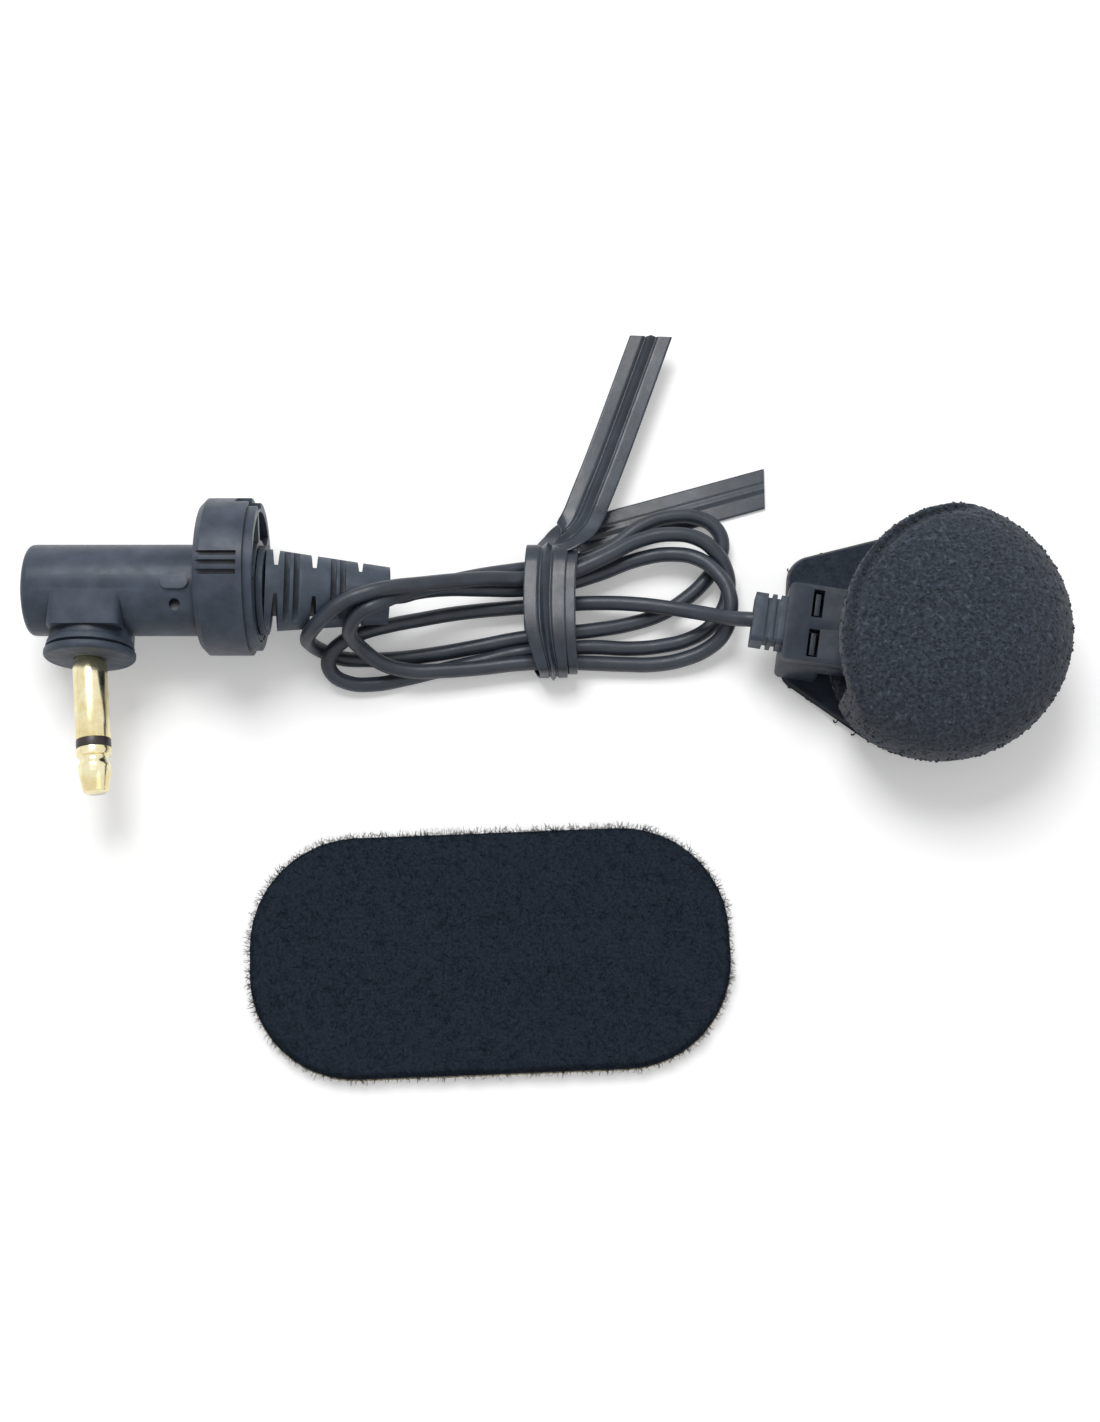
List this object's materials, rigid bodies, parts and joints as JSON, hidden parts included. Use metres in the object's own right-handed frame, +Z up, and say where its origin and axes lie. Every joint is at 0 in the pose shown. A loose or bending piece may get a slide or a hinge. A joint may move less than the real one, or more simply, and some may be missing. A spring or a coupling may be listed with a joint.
{
  "type": "lead microphone with foam windscreen",
  "caption": "Small lead microphone in a round foam windscreen, with a hook pad, a tied lead, a right-angle mono plug with a cam collar, and a stick-on loop pad.",
  "frame": {"origin": "on the resting plane, on the hook pad's face, under the centre of the foam windscreen", "axes": "+X from the plug to the windscreen, +Z up away from the hook pad, +Y completes the frame and points away from the plug's pin"},
  "size_m": [0.1068, 0.0805, 0.0167],
  "materials": {
    "windscreen_foam": "open-cell foam, dull charcoal black",
    "hook_tape": "woven nylon hook tape, black",
    "adhesive": "translucent pressure-sensitive adhesive",
    "black_plastic": "moulded nylon, satin black",
    "black_rubber": "soft moulded PVC, matt black",
    "lead_jacket": "extruded cord jacket, satin black",
    "tie_ribbon": "extruded ribbon over a wire core, slightly shiny",
    "gold_plate": "pale gold plate, bright",
    "plug_insulator": "moulded insulator, black",
    "capsule_metal": "drawn can, satin",
    "black_felt": "thin dust felt",
    "circuit_board": "green solder mask",
    "wire_insulation": "thin coloured insulation",
    "tinned_metal": "tin plate",
    "loop_pile": "brushed nylon loop pile, navy black",
    "loop_backing": "knitted backing",
    "release_liner": "coated paper, beige"
  },
  "bodies": {
    "microphone": {"hook_field": "hook_tape", "hook_tape": "hook_tape", "hook_adhesive": "adhesive", "mic_base": "black_plastic", "mic_cover": "black_plastic", "mic_grille": "black_plastic", "capsule_felt": "black_felt", "capsule_can": "capsule_metal", "capsule_gasket": "black_rubber", "capsule_board": "circuit_board", "mic_wires": "wire_insulation", "lead_clamp": "tinned_metal", "mic_boot": "black_rubber", "lead_mic_tail": "lead_jacket", "lead_hank": "lead_jacket", "twist_tie": "tie_ribbon", "lead_plug_tail": "lead_jacket", "strain_relief": "black_rubber", "plug_housing": "black_plastic", "plug_flange": "black_rubber", "plug_sleeve": "gold_plate", "plug_band": "plug_insulator", "plug_core": "plug_insulator", "plug_tip": "gold_plate", "sleeve_lug": "tinned_metal", "tip_lug": "tinned_metal", "plug_wires": "wire_insulation", "lead_crimp": "tinned_metal"},
    "windscreen": {"foam_windscreen": "windscreen_foam"},
    "collar": {"cam_collar": "black_plastic"},
    "pad": {"loop_pile": "loop_pile", "loop_backing": "loop_backing", "loop_adhesive": "adhesive", "release_liner": "release_liner"}
  },
  "joints": [
    {"name": "windscreen_pull", "type": "slide", "parent": "microphone", "child": "windscreen", "axis": [0.9877, -0.1564, 0], "range_m": [0, 0.022]},
    {"name": "collar_turn", "type": "hinge", "parent": "microphone", "child": "collar", "pos_m": [-0.07205, 0.0045, 0.0081], "axis": [1, 0, 0], "range_deg": [0, 180]},
    {"name": "pad_lift", "type": "slide", "parent": "microphone", "child": "pad", "axis": [0, 0, 1], "range_m": [0, 0.03]}
  ]
}
